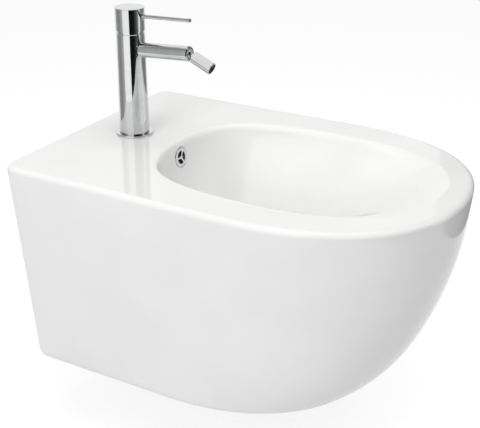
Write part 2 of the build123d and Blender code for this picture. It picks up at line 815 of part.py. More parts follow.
with BuildPart() as handle_cap:
    with BuildSketch(column_plane):
        Polygon(
            (0, cap_boss_foot),
            (cap_boss_radius, cap_boss_foot),
            (cap_boss_radius, cap_ceiling),
            (cap_radius - cap_wall, cap_ceiling),
            (cap_radius - cap_wall, cap_foot),
            (cap_radius, cap_foot),
            (cap_radius, cap_top),
            (0, cap_top),
        )
    revolve(axis=column_axis)
    fillet(handle_cap.edges().group_by(Axis.Z)[-1], radius=cap_edge)
    with BuildSketch(over_deck(cap_boss_foot)):
        Rectangle(2 * socket_half, 2 * socket_half)
    extrude(amount=spindle_top + film_gap - cap_boss_foot, mode=Mode.SUBTRACT)
    with BuildSketch(lever_plane):
        Polygon(
            (lever_spigot_start - film_gap, 0),
            (lever_spigot_start - film_gap, lever_spigot_radius + thread_clearance),
            (recess_foot, lever_spigot_radius + thread_clearance),
            (recess_foot, lever_radius + thread_clearance),
            (cap_radius, lever_recess_radius),
            (cap_radius + cut_past, lever_recess_radius),
            (cap_radius + cut_past, 0),
        )
    revolve(axis=lever_axis, mode=Mode.SUBTRACT)
    with BuildSketch(rear_plane):
        Polygon(
            (0, 0),
            (0, grub_radius + thread_clearance),
            (cap_boss_radius + cut_past, grub_radius + thread_clearance),
            (cap_boss_radius + cut_past, access_plug_radius + film_gap),
            (cap_radius + cut_past, access_plug_radius + film_gap),
            (cap_radius + cut_past, 0),
        )
    revolve(axis=rear_axis, mode=Mode.SUBTRACT)
save(handle_cap.part, "handle_cap")

with BuildPart() as lever_pin:
    with BuildSketch(lever_plane):
        Polygon(
            (lever_spigot_start, 0),
            (lever_spigot_start, lever_spigot_radius),
            (recess_foot, lever_spigot_radius),
            (recess_foot, lever_radius),
            (groove_start, lever_radius),
            (groove_start, lever_radius - lever_groove_depth),
            (groove_start + lever_groove_width, lever_radius - lever_groove_depth),
            (groove_start + lever_groove_width, lever_radius),
            (lever_reach - lever_edge, lever_radius),
            (lever_reach, lever_radius - lever_edge),
            (lever_reach, 0),
        )
    revolve(axis=lever_axis)
save(lever_pin.part, "lever_pin")

with BuildPart() as grub_screw:
    with BuildSketch(rear_plane):
        Polygon(
            (grub_start, 0),
            (grub_start, grub_radius),
            (grub_end, grub_radius),
            (grub_end, 0),
        )
    revolve(axis=rear_axis)
    with BuildSketch(grub_face):
        RegularPolygon(grub_hex_radius, 6)
    extrude(amount=-grub_hex_depth, mode=Mode.SUBTRACT)
save(grub_screw.part, "grub_screw")

with BuildPart() as access_plug:
    with BuildSketch(rear_plane):
        Polygon(
            (cap_radius - cap_wall, 0),
            (cap_radius - cap_wall, access_plug_radius),
            (cap_radius + cut_past, access_plug_radius),
            (cap_radius + cut_past, 0),
        )
    revolve(axis=rear_axis)
    with BuildSketch(over_deck(cap_foot)):
        Circle(cap_radius - access_plug_edge)
    extrude(amount=cap_top - cap_foot, mode=Mode.INTERSECT)
save(access_plug.part, "access_plug")

# Spout arm with the parts of its ball joint
ball_place = arm_plane.origin + arm_plane.x_dir * (arm_reach - ball_setback)
cup_radius = ball_radius + running_clearance
collar_front = arm_reach + collar_thickness
ball_at = arm_reach - ball_setback
seat_foot = ball_at - ball_seat_depth
collar_start = arm_reach - collar_thread_length
seat_top = seat_foot + ball_seat_length
column_cone_height = column_top - column_edge - flange_height - foot_groove_height

with BuildPart() as spout_arm:
    with BuildSketch(arm_plane):
        Polygon(
            (arm_spigot_start, 0),
            (arm_spigot_start, arm_radius),
            (arm_reach - arm_edge, arm_radius),
            (arm_reach, arm_radius - arm_edge),
            (arm_reach, 0),
        )
    revolve(axis=arm_axis)
    with Locations(over_deck(flange_height + foot_groove_height)):
        Cone(
            column_foot_radius + saddle_gap,
            column_top_radius + saddle_gap,
            column_cone_height,
            align=(Align.CENTER, Align.CENTER, Align.MIN),
            mode=Mode.SUBTRACT,
        )
    with BuildSketch(arm_plane):
        Polygon(
            (arm_spigot_start, 0),
            (arm_spigot_start, arm_spigot_radius),
            (column_foot_radius + arm_radius, arm_spigot_radius),
            (column_foot_radius + arm_radius, 0),
        )
    revolve(axis=arm_axis)
    with BuildSketch(arm_plane):
        Polygon(
            (0, 0),
            (0, arm_bore_radius),
            (seat_foot - film_gap, arm_bore_radius),
            (seat_foot - film_gap, ball_seat_radius + running_clearance),
            (collar_start - film_gap, ball_seat_radius + running_clearance),
            (collar_start - film_gap, collar_thread_radius + thread_clearance),
            (arm_reach + cut_past, collar_thread_radius + thread_clearance),
            (arm_reach + cut_past, 0),
        )
    revolve(axis=arm_axis, mode=Mode.SUBTRACT)
save(spout_arm.part, "spout_arm")

with BuildPart() as ball_seat:
    with BuildSketch(arm_plane):
        Polygon(
            (seat_foot, ball_seat_bore),
            (seat_foot, ball_seat_radius),
            (seat_top, ball_seat_radius),
            (seat_top, ball_seat_bore),
        )
    revolve(axis=arm_axis)
    with Locations(Plane(ball_place)):
        Sphere(cup_radius, mode=Mode.SUBTRACT)
save(ball_seat.part, "ball_seat")

with BuildPart() as swivel_collar:
    with BuildSketch(arm_plane):
        Polygon(
            (collar_start, 0),
            (collar_start, collar_thread_radius),
            (arm_reach, collar_thread_radius),
            (arm_reach, collar_radius),
            (collar_front - collar_edge, collar_radius),
            (collar_front, collar_radius - collar_edge),
            (collar_front, 0),
        )
    revolve(axis=arm_axis)
    with BuildSketch(arm_plane):
        Polygon(
            (0, 0),
            (0, cup_radius),
            (ball_at, cup_radius),
            (ball_at, 0),
        )
    revolve(axis=arm_axis, mode=Mode.SUBTRACT)
    with Locations(Plane(ball_place)):
        Sphere(cup_radius, mode=Mode.SUBTRACT)
save(swivel_collar.part, "swivel_collar")

# Nozzle: profiles run along its own axis from the ball's centre
nozzle_plane = tilted_axis(ball_place, -nozzle_droop)
nozzle_axis = Axis(nozzle_plane.origin, nozzle_plane.x_dir)
swing = radians(nozzle_swing)
nozzle_back = (ball_setback + collar_thickness + nozzle_gap + nozzle_radius * sin(swing)) / cos(swing)
nozzle_mouth = nozzle_back + nozzle_length
nozzle_bore = nozzle_radius - nozzle_wall
chamber_back = nozzle_back + nozzle_back_wall
aerator_front = nozzle_mouth - aerator_recess
aerator_back = aerator_front - aerator_length
with BuildPart() as nozzle:
    with Locations(Plane(ball_place)):
        Sphere(ball_radius)
    with BuildSketch(nozzle_plane):
        Polygon(
            (0, 0),
            (0, neck_pipe_radius),
            (nozzle_back, neck_pipe_radius),
            (nozzle_back, nozzle_radius - nozzle_edge),
            (nozzle_back + nozzle_edge, nozzle_radius),
            (nozzle_mouth - nozzle_edge, nozzle_radius),
            (nozzle_mouth, nozzle_radius - nozzle_edge),
            (nozzle_mouth, 0),
        )
    revolve(axis=nozzle_axis)
    with BuildSketch(nozzle_plane):
        Polygon(
            (-2 * ball_radius, 0),
            (-2 * ball_radius, neck_pipe_bore),
            (chamber_back, neck_pipe_bore),
            (chamber_back + neck_pipe_bore, nozzle_chamber_radius),
            (aerator_back - aerator_washer_height, nozzle_chamber_radius),
            (aerator_back - aerator_washer_height, nozzle_bore),
            (nozzle_mouth + cut_past, nozzle_bore),
            (nozzle_mouth + cut_past, 0),
        )
    revolve(axis=nozzle_axis, mode=Mode.SUBTRACT)
save(nozzle.part, "nozzle")


def across_nozzle(distance):
    """A plane square to the nozzle's axis, at a distance from the ball's centre."""
    place = nozzle_plane.origin + nozzle_plane.x_dir * distance
    return Plane(place, x_dir=(1, 0, 0), z_dir=nozzle_plane.x_dir)


with BuildPart() as aerator:
    with BuildSketch(across_nozzle(aerator_back)):
        Circle(nozzle_bore - thread_clearance)
    extrude(amount=aerator_length)
    with BuildSketch(across_nozzle(aerator_front)):
        Circle(nozzle_bore - aerator_rim)
    extrude(amount=-aerator_dish, mode=Mode.SUBTRACT)
    with BuildSketch(across_nozzle(aerator_back)):
        Circle(aerator_hole_radius)
        for ring, count in aerator_rings:
            with PolarLocations(ring, count):
                Circle(aerator_hole_radius)
    extrude(amount=aerator_length, mode=Mode.SUBTRACT)
save(aerator.part, "aerator")

with BuildPart() as aerator_washer:
    with BuildSketch(across_nozzle(aerator_back - aerator_washer_height)):
        Circle(nozzle_bore - thread_clearance)
        Circle(nozzle_bore - thread_clearance - aerator_washer_width, mode=Mode.SUBTRACT)
    extrude(amount=aerator_washer_height)
save(aerator_washer.part, "aerator_washer")

# Tap fixing under the deck: a stud, a rubber and a steel horseshoe, and a long nut
with BuildPart() as fixing_stud:
    with Locations(over_deck(-spigot_drop + stud_hold)):
        with Locations((0, stud_setback)):
            Cylinder(stud_radius, stud_length + stud_hold, align=(Align.CENTER, Align.CENTER, Align.MAX))
save(fixing_stud.part, "fixing_stud")


def horseshoe(top):
    """The outline of a level washer, at a height over the deck, with an open side for the water inlets."""
    mouth_start = stud_setback + stud_radius + horseshoe_bridge
    with BuildSketch(over_deck(top)) as outline:
        Circle(horseshoe_radius)
        with Locations((0, mouth_start)):
            Rectangle(
                horseshoe_mouth,
                2 * horseshoe_radius,
                align=(Align.CENTER, Align.MIN),
                mode=Mode.SUBTRACT,
            )
        with Locations((0, stud_setback)):
            Circle(stud_radius + seat_clearance, mode=Mode.SUBTRACT)
    return outline.sketch


plate_top = -deck_thickness - horseshoe_rubber_height
stud_nut_top = plate_top - horseshoe_plate_height

with BuildPart() as horseshoe_rubber:
    extrude(horseshoe(-deck_thickness), amount=-horseshoe_rubber_height)
save(horseshoe_rubber.part, "horseshoe_rubber")

with BuildPart() as horseshoe_plate:
    extrude(horseshoe(plate_top), amount=-horseshoe_plate_height)
save(horseshoe_plate.part, "horseshoe_plate")

with BuildPart() as stud_nut:
    with BuildSketch(over_deck(stud_nut_top)):
        with Locations((0, stud_setback)):
            RegularPolygon(stud_nut_width / 2, 6, major_radius=False)
            Circle(stud_radius + thread_clearance, mode=Mode.SUBTRACT)
    extrude(amount=-stud_nut_height)
save(stud_nut.part, "stud_nut")

# Waste: profiles are (radius, height over the floor of the bowl)
drain_plane = Plane(waste_plane.origin, x_dir=(1, 0, 0), z_dir=(0, -1, 0))
drain_axis = Axis(drain_plane.origin, (0, 0, 1))


def over_floor(height):
    """A level plane on the waste's axis, at a height over the floor of the bowl."""
    return waste_plane.offset(height)


flange_top = waste_washer_height + waste_flange_height
waste_thread_length = waste_length - waste_tail_length - waste_radius + waste_tail_radius
with BuildPart() as waste_body:
    with BuildSketch(drain_plane):
        Polygon(
            (waste_bore, -waste_ledge),
            (waste_bore, flange_top - waste_mouth_edge),
            (waste_bore + waste_mouth_edge, flange_top),
            (waste_flange_radius - waste_flange_edge, flange_top),
            (waste_flange_radius, flange_top - waste_flange_edge),
            (waste_flange_radius, waste_washer_height),
            (waste_radius, waste_washer_height),
            (waste_radius, -waste_thread_length),
            (waste_tail_radius, -waste_thread_length - waste_radius + waste_tail_radius),
            (waste_tail_radius, -waste_length),
            (waste_lower_bore, -waste_length),
            (waste_lower_bore, -waste_ledge),
        )
    revolve(axis=drain_axis)
    with BuildSketch(over_floor(-duct_floor_wall)):
        with PolarLocations(waste_radius, waste_slot_count, start_angle=90):
            Rectangle(waste_radius, waste_slot_width)
    extrude(amount=-duct_gap, mode=Mode.SUBTRACT)
save(waste_body.part, "waste_body")

with BuildPart() as waste_washer:
    with BuildSketch(over_floor(0)):
        Circle(waste_flange_radius - waste_flange_edge)
        Circle(waste_hole_radius, mode=Mode.SUBTRACT)
    extrude(amount=waste_washer_height)
save(waste_washer.part, "waste_washer")

boss_foot = -waste_boss_height
with BuildPart() as lower_seal:
    with BuildSketch(drain_plane):
        Polygon(
            (waste_radius + thread_clearance, boss_foot),
            (lower_seal_radius - lower_seal_slope, boss_foot),
            (lower_seal_radius, boss_foot - lower_seal_height),
            (waste_radius + thread_clearance, boss_foot - lower_seal_height),
        )
    revolve(axis=drain_axis)
save(lower_seal.part, "lower_seal")

slip_foot = boss_foot - lower_seal_height - slip_washer_height
with BuildPart() as slip_washer:
    with BuildSketch(over_floor(slip_foot)):
        Circle(lower_seal_radius)
        Circle(waste_radius + thread_clearance, mode=Mode.SUBTRACT)
    extrude(amount=slip_washer_height)
save(slip_washer.part, "slip_washer")

with BuildPart() as waste_nut:
    with BuildSketch(over_floor(slip_foot)):
        RegularPolygon(waste_nut_width / 2, 6, major_radius=False)
        Circle(waste_radius + thread_clearance, mode=Mode.SUBTRACT)
    extrude(amount=-waste_nut_height)
    chamfer(waste_nut.edges().group_by(Axis.Z)[0].filter_by(GeomType.LINE), length=waste_nut_edge)
save(waste_nut.part, "waste_nut")

with BuildPart() as click_housing:
    with BuildSketch(over_floor(-waste_ledge)):
        Circle(waste_bore - seat_clearance)
        Circle(waste_bore - seat_clearance - click_ring_wall, mode=Mode.SUBTRACT)
        with PolarLocations(waste_bore / 2, click_rib_count, start_angle=90):
            Rectangle(waste_bore - click_ring_wall, click_rib_width)
        Circle(click_hub_radius)
    extrude(amount=click_ring_height)
    with BuildSketch(over_floor(-waste_ledge)):
        Circle(click_hub_radius)
    extrude(amount=click_hub_height)
    with BuildSketch(over_floor(-waste_ledge + click_hub_height)):
        Circle(plug_stem_radius + running_clearance)
    extrude(amount=click_floor - click_hub_height, mode=Mode.SUBTRACT)
save(click_housing.part, "click_housing")

plug_foot = flange_top + plug_lift
stem_foot = -waste_ledge + click_floor + film_gap
with BuildPart() as plug_cap:
    with BuildSketch(over_floor(plug_foot)):
        Circle(plug_radius)
    extrude(amount=plug_height)
    fillet(plug_cap.edges().group_by(Axis.Z)[-1], radius=plug_crown)
    chamfer(plug_cap.edges().group_by(Axis.Z)[0], length=plug_edge)
    with BuildSketch(over_floor(plug_foot)):
        Circle(plug_stem_radius + thread_clearance)
    extrude(amount=plug_height / 2, mode=Mode.SUBTRACT)
save(plug_cap.part, "plug_cap")

with BuildPart() as plug_stem:
    with BuildSketch(over_floor(stem_foot)):
        Circle(plug_stem_radius)
    extrude(amount=plug_foot + plug_height / 2 - stem_foot)
save(plug_stem.part, "plug_stem")

with BuildPart() as plug_seal:
    with BuildSketch(over_floor(flange_top + film_gap)):
        Circle(plug_seal_radius)
        Circle(plug_seal_radius - plug_seal_width, mode=Mode.SUBTRACT)
    extrude(amount=plug_lift - film_gap)
save(plug_seal.part, "plug_seal")
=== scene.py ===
import logging
import math
from collections.abc import Callable
from dataclasses import dataclass, field
from enum import Enum

import bpy
from mathutils import Matrix, Vector


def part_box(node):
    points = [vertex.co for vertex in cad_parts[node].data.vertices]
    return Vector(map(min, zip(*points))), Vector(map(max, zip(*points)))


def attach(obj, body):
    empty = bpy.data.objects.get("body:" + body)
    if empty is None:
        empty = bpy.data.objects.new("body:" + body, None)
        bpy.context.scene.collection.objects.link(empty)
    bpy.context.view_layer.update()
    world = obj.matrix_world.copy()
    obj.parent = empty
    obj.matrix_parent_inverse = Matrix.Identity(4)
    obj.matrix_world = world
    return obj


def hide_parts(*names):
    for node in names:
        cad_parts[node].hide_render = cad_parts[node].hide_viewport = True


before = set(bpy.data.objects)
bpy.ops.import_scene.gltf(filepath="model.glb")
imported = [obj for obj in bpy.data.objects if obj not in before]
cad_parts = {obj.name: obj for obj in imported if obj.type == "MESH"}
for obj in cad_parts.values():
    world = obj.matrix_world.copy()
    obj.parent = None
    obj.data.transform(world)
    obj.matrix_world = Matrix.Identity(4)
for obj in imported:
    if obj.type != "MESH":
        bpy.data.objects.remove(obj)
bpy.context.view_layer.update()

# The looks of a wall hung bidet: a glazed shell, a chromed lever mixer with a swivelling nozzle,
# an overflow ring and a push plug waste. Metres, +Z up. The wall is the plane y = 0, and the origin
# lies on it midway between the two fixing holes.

MM = 0.001
log = logging.getLogger("bidet")


def to_linear(colour: str) -> tuple[float, float, float, float]:
    """Turns an sRGB hex colour into the linear values that Blender's sockets take.

    Args:
        colour: six hex digits after a hash, such as "#F4F4F2".

    Returns:
        Linear red, green, blue and an alpha of 1.
    """
    channels = [int(colour[place : place + 2], 16) / 255 for place in (1, 3, 5)]
    linear = [c / 12.92 if c <= 0.04045 else ((c + 0.055) / 1.055) ** 2.4 for c in channels]
    return (*linear, 1.0)


def add_node(
    tree: bpy.types.NodeTree, kind: str, inputs: dict | None = None, **settings: object
) -> bpy.types.Node:
    """Adds a node, sets its properties, and gives each named input a value or a link.

    Args:
        tree: the node tree that the node goes into.
        kind: Blender's name of the node's type.
        inputs: input name or index to a plain value, or to the output socket that feeds it.
        settings: properties of the node itself.

    Returns:
        The new node.
    """
    node = tree.nodes.new(kind)
    for name, value in settings.items():
        setattr(node, name, value)
    for name, value in (inputs or {}).items():
        if isinstance(value, bpy.types.NodeSocket):
            tree.links.new(value, node.inputs[name])
        else:
            node.inputs[name].default_value = value
    return node


def cleared(owner: bpy.types.Material | bpy.types.World) -> bpy.types.NodeTree:
    """Returns the node tree of a new material or world, with nothing in it."""
    owner.use_nodes = True
    owner.node_tree.nodes.clear()
    return owner.node_tree


def ramp(
    tree: bpy.types.NodeTree, value: bpy.types.NodeSocket, stops: list[tuple[float, str]]
) -> bpy.types.NodeSocket:
    """Adds a colour ramp.

    Args:
        tree: the node tree that it goes into.
        value: the grey value that it colours.
        stops: places from 0 to 1, each with its sRGB hex colour.

    Returns:
        The ramp's colour output.
    """
    node = add_node(tree, "ShaderNodeValToRGB", {"Fac": value})
    elements = node.color_ramp.elements
    while len(elements) < len(stops):
        elements.new(0.5)
    for element, (place, colour) in zip(elements, stops):
        element.position = place
        element.color = to_linear(colour)
    return node.outputs["Color"]


def noise(
    tree: bpy.types.NodeTree, place: bpy.types.NodeSocket, spot_mm: float, detail: float
) -> bpy.types.NodeSocket:
    """Adds a noise texture.

    Args:
        tree: the node tree that it goes into.
        place: object coordinates, in metres.
        spot_mm: rough width of its spots.
        detail: number of finer layers over the first.

    Returns:
        Its grey value.
    """
    scale = 1 / (spot_mm * MM)
    inputs = {"Vector": place, "Scale": scale, "Detail": detail}
    return add_node(tree, "ShaderNodeTexNoise", inputs).outputs["Fac"]


def roughen(
    tree: bpy.types.NodeTree,
    shader: bpy.types.Node,
    height: bpy.types.NodeSocket,
    strength: float,
    depth_mm: float,
) -> None:
    """Gives a finish the small unevenness that its making leaves.

    Args:
        tree: the material's node tree.
        shader: its Principled BSDF.
        height: the grey value that stands for height.
        strength: share of the unevenness that shows.
        depth_mm: height between the values 0 and 1.
    """
    inputs = {"Height": height, "Strength": strength, "Distance": depth_mm * MM}
    bump = add_node(tree, "ShaderNodeBump", inputs)
    tree.links.new(bump.outputs["Normal"], shader.inputs["Normal"])


@dataclass(frozen=True)
class Finish:
    """A surface finish, made once as a node material and shared by the pieces that have it."""

    name: str

    def material(self) -> bpy.types.Material:
        """Returns the finish's material, and builds it at the first call."""
        found = bpy.data.materials.get(self.name)
        if found:
            return found
        made = bpy.data.materials.new(self.name)
        tree = cleared(made)
        shader = add_node(tree, "ShaderNodeBsdfPrincipled")
        place = add_node(tree, "ShaderNodeTexCoord").outputs["Object"]
        self.paint(tree, shader, place)
        add_node(tree, "ShaderNodeOutputMaterial", {"Surface": shader.outputs["BSDF"]})
        return made

    def paint(
        self, tree: bpy.types.NodeTree, shader: bpy.types.Node, place: bpy.types.NodeSocket
    ) -> None:
        """Adds the finish's own nodes.

        Args:
            tree: the material's node tree.
            shader: its Principled BSDF.
            place: object coordinates, in metres.
        """
        raise NotImplementedError

    def dress(self, piece: bpy.types.Object) -> None:
        """Puts the finish on the whole of a piece."""
        piece.data.materials.clear()
        piece.data.materials.append(self.material())


@dataclass(frozen=True)
class VitreousGlaze(Finish):
    """Vitreous china under a fired white glaze, sprayed on.

    The glaze is thick and clear, so it gives sharp reflections over a soft white, with a faint
    orange peel from the spraying. The back face is ground flat after firing, and shows the bare
    body.
    """

    colour: str = "#F0F0EF"
    shade: str = "#ECECEB"
    biscuit: str = "#D8D3C6"
    biscuit_fleck: str = "#C9C3B4"
    glaze_roughness: float = 0.07
    biscuit_roughness: float = 0.85
    refraction: float = 1.52
    cloud_mm: float = 110.0
    grain_mm: float = 1.2
    peel_mm: float = 9.0
    peel: float = 0.05
    peel_depth_mm: float = 0.4
    glaze_end_mm: float = 1.6
    bare_from_mm: float = 0.6

    def paint(self, tree, shader, place):
        """Adds the glaze's cloudiness and orange peel, and the bare ground at the wall."""
        cloud = noise(tree, place, self.cloud_mm, 2.0)
        tone = ramp(tree, cloud, [(0.35, self.shade), (0.65, self.colour)])
        depth = add_node(tree, "ShaderNodeSeparateXYZ", {"Vector": place}).outputs["Y"]
        from_wall = {
            "Value": depth,
            "From Min": -self.glaze_end_mm * MM,
            "From Max": -self.bare_from_mm * MM,
        }
        bare = add_node(tree, "ShaderNodeMapRange", from_wall).outputs["Result"]
        grain = noise(tree, place, self.grain_mm, 4.0)
        biscuit = self.mix(tree, grain, to_linear(self.biscuit), to_linear(self.biscuit_fleck))
        tree.links.new(self.mix(tree, bare, tone, biscuit), shader.inputs["Base Color"])
        rough = add_node(
            tree,
            "ShaderNodeMapRange",
            {"Value": bare, "To Min": self.glaze_roughness, "To Max": self.biscuit_roughness},
        )
        tree.links.new(rough.outputs["Result"], shader.inputs["Roughness"])
        roughen(tree, shader, noise(tree, place, self.peel_mm, 1.0), self.peel, self.peel_depth_mm)
        shader.inputs["IOR"].default_value = self.refraction

    @staticmethod
    def mix(
        tree: bpy.types.NodeTree, share: bpy.types.NodeSocket, first: object, second: object
    ) -> bpy.types.NodeSocket:
        """Mixes two colours.

        Args:
            tree: the material's node tree.
            share: how much of the second colour shows.
            first: the first colour, or the socket that gives it.
            second: the second colour, or the socket that gives it.

        Returns:
            The mixed colour.
        """
        inputs = {"Factor": share, "A": first, "B": second}
        return add_node(tree, "ShaderNodeMix", inputs, data_type="RGBA").outputs["Result"]


@dataclass(frozen=True)
class Metal(Finish):
    """A bare or plated metal, polished, turned or rolled."""

    colour: str = "#DADCDD"
    dull: str = "#D2D4D6"
    roughness: float = 0.04
    spread: float = 0.03
    mark_mm: float = 14.0
    wave_mm: float = 18.0
    wave: float = 0.02
    wave_depth_mm: float = 0.5

    def paint(self, tree, shader, place):
        """Adds a slight change of tone and gloss, and the unevenness that the making leaves."""
        marks = noise(tree, place, self.mark_mm, 5.0)
        tone = ramp(tree, marks, [(0.35, self.dull), (0.6, self.colour)])
        tree.links.new(tone, shader.inputs["Base Color"])
        gloss = add_node(
            tree,
            "ShaderNodeMapRange",
            {
                "Value": marks,
                "From Min": 0.3,
                "From Max": 0.7,
                "To Min": self.roughness,
                "To Max": self.roughness + self.spread,
            },
        )
        tree.links.new(gloss.outputs["Result"], shader.inputs["Roughness"])
        roughen(tree, shader, noise(tree, place, self.wave_mm, 1.0), self.wave, self.wave_depth_mm)
        shader.inputs["Metallic"].default_value = 1.0


@dataclass(frozen=True)
class Moulding(Finish):
    """A moulded plastic or rubber, or a pressed and fired ceramic, with a fine grain."""

    colour: str = "#E8E8E4"
    fleck: str = "#E2E2DD"
    roughness: float = 0.4
    grain_mm: float = 0.9
    grain: float = 0.15
    grain_depth_mm: float = 0.1
    subsurface: float = 0.0

    def paint(self, tree, shader, place):
        """Adds the grain and a slight change of tone."""
        grain = noise(tree, place, self.grain_mm, 3.0)
        tone = ramp(tree, grain, [(0.4, self.fleck), (0.6, self.colour)])
        tree.links.new(tone, shader.inputs["Base Color"])
        roughen(tree, shader, grain, self.grain, self.grain_depth_mm)
        shader.inputs["Roughness"].default_value = self.roughness
        shader.inputs["Subsurface Weight"].default_value = self.subsurface


GLAZE = VitreousGlaze("glazed_vitreous_china")
CHROME = Metal("polished_chrome_plate")
BRASS = Metal(
    "turned_brass", colour="#C9AB6B", dull="#B7985A", roughness=0.22, spread=0.12, mark_mm=6.0
)
STEEL = Metal(
    "zinc_plated_steel", colour="#BFC2C4", dull="#A9ADB0", roughness=0.34, spread=0.15, mark_mm=3.0
)
RUBBER = Moulding(
    "moulded_black_rubber", colour="#1C1C1D", fleck="#161617", roughness=0.62, grain=0.3
)
ACETAL = Moulding("moulded_white_acetal", roughness=0.36, subsurface=0.05)
GREY_PLASTIC = Moulding("moulded_grey_plastic", colour="#5E6265", fleck="#55595C", roughness=0.46)
ALUMINA = Moulding("lapped_alumina", colour="#E7E3D8", fleck="#DFDACD", roughness=0.14, grain=0.03)


class Join(Enum):
    """How one solid is combined with another."""

    CUT = "DIFFERENCE"
    KEEP_COMMON = "INTERSECT"


def in_edit(work: Callable[[], object]) -> None:
    """Runs an edit on the active object with all of its mesh selected."""
    bpy.ops.object.mode_set(mode="EDIT")
    bpy.ops.mesh.select_mode(type="VERT")
    bpy.ops.mesh.select_all(action="SELECT")
    work()
    bpy.ops.object.mode_set(mode="OBJECT")


def make_active(piece: bpy.types.Object) -> None:
    """Makes a piece the only one selected, and the active one."""
    bpy.ops.object.select_all(action="DESELECT")
    piece.select_set(True)
    bpy.context.view_layer.objects.active = piece


def settle(piece: bpy.types.Object, name: str) -> bpy.types.Object:
    """Names a piece, puts its place into its mesh, and turns its faces outwards.

    Args:
        piece: the piece, still where its primitive was added.
        name: its name.

    Returns:
        The same piece.
    """
    piece.name = name
    piece.data.name = name
    make_active(piece)
    bpy.ops.object.transform_apply(location=True, rotation=True, scale=True)
    in_edit(lambda: bpy.ops.mesh.normals_make_consistent(inside=False))
    return piece


def apply_modifier(piece: bpy.types.Object, kind: str, **settings: object) -> None:
    """Adds a modifier to a piece and applies it at once."""
    modifier = piece.modifiers.new(kind.lower(), kind)
    for name, value in settings.items():
        setattr(modifier, name, value)
    make_active(piece)
    bpy.ops.object.modifier_apply(modifier=modifier.name)


def combine(piece: bpy.types.Object, tool: bpy.types.Object, join: Join) -> None:
    """Combines a piece with a tool solid, and takes the tool away."""
    apply_modifier(piece, "BOOLEAN", object=tool, operation=join.value, solver="EXACT")
    bpy.data.objects.remove(tool, do_unlink=True)


def turned(
    name: str,
    centre: Vector,
    profile: list[tuple[float, float]],
    tube: bool = False,
    sides: int = 72,
) -> bpy.types.Object:
    """Turns a profile about the upright line through a centre.

    Args:
        name: the piece's name.
        centre: the place that the heights count from.
        profile: pairs of radius and height, in order along the outline.
        tube: True joins the last pair to the first, False closes both ends with a face.
        sides: corners of each ring.

    Returns:
        The turned piece.
    """
    radius, height = profile[0]
    bpy.ops.object.select_all(action="DESELECT")
    bpy.ops.mesh.primitive_circle_add(
        vertices=sides, radius=radius, fill_type="NOTHING", location=centre + Vector((0, 0, height))
    )
    piece = bpy.context.object

    def draw() -> None:
        """Extrudes the ring along the profile."""
        before = profile[0]
        for after in profile[1:]:
            rise = (0, 0, after[1] - before[1])
            bpy.ops.mesh.extrude_region_move(TRANSFORM_OT_translate={"value": rise})
            wider = after[0] / before[0]
            bpy.ops.transform.resize(value=(wider, wider, 1))
            before = after
        if tube:
            bpy.ops.mesh.select_all(action="DESELECT")
            bpy.ops.mesh.select_non_manifold()
            bpy.ops.mesh.bridge_edge_loops()
        else:
            bpy.ops.mesh.select_all(action="SELECT")
            bpy.ops.mesh.fill_holes(sides=0)

    in_edit(draw)
    return settle(piece, name)


def thread_ridge(
    name: str, centre: Vector, foot: float, top: float, root: float, crest: float, pitch: float
) -> bpy.types.Object:
    """Winds the ridge of a screw thread round the upright line through a centre.

    Args:
        name: the piece's name.
        centre: the place that the heights count from.
        foot: height of the thread's lower end.
        top: height of its upper end.
        root: radius of the core.
        crest: outside radius.
        pitch: rise in one turn.

    Returns:
        The ridge, sunk a little into the core.
    """
    sunk = 0.92 * root
    foot_width = 0.96 * pitch
    crest_share = 0.14
    steps = 40
    bpy.ops.object.select_all(action="DESELECT")
    bpy.ops.mesh.primitive_plane_add(size=1.0)
    piece = bpy.context.object
    quarter_turn = math.radians(90)
    in_edit(lambda: bpy.ops.transform.rotate(
        value=quarter_turn, orient_axis="X", center_override=(0, 0, 0)
    ))
    in_edit(lambda: bpy.ops.transform.resize(value=(crest - sunk, 1, foot_width)))
    in_edit(lambda: bpy.ops.transform.translate(value=((crest + sunk) / 2, 0, 0)))
    in_edit(lambda: bpy.ops.mesh.select_all(action="DESELECT"))
    for corner in piece.data.vertices:
        corner.select = corner.co.x > (crest + sunk) / 2
    bpy.ops.object.mode_set(mode="EDIT")
    bpy.ops.transform.resize(value=(1, 1, crest_share))
    bpy.ops.object.mode_set(mode="OBJECT")
    turns = int((top - foot - pitch) / pitch)
    apply_modifier(
        piece, "SCREW", axis="Z", angle=math.tau, screw_offset=pitch, iterations=turns,
        steps=steps, render_steps=steps,
    )
    in_edit(lambda: bpy.ops.mesh.fill_holes(sides=4))
    piece.location = centre + Vector((0, 0, foot + pitch / 2))
    return settle(piece, name)


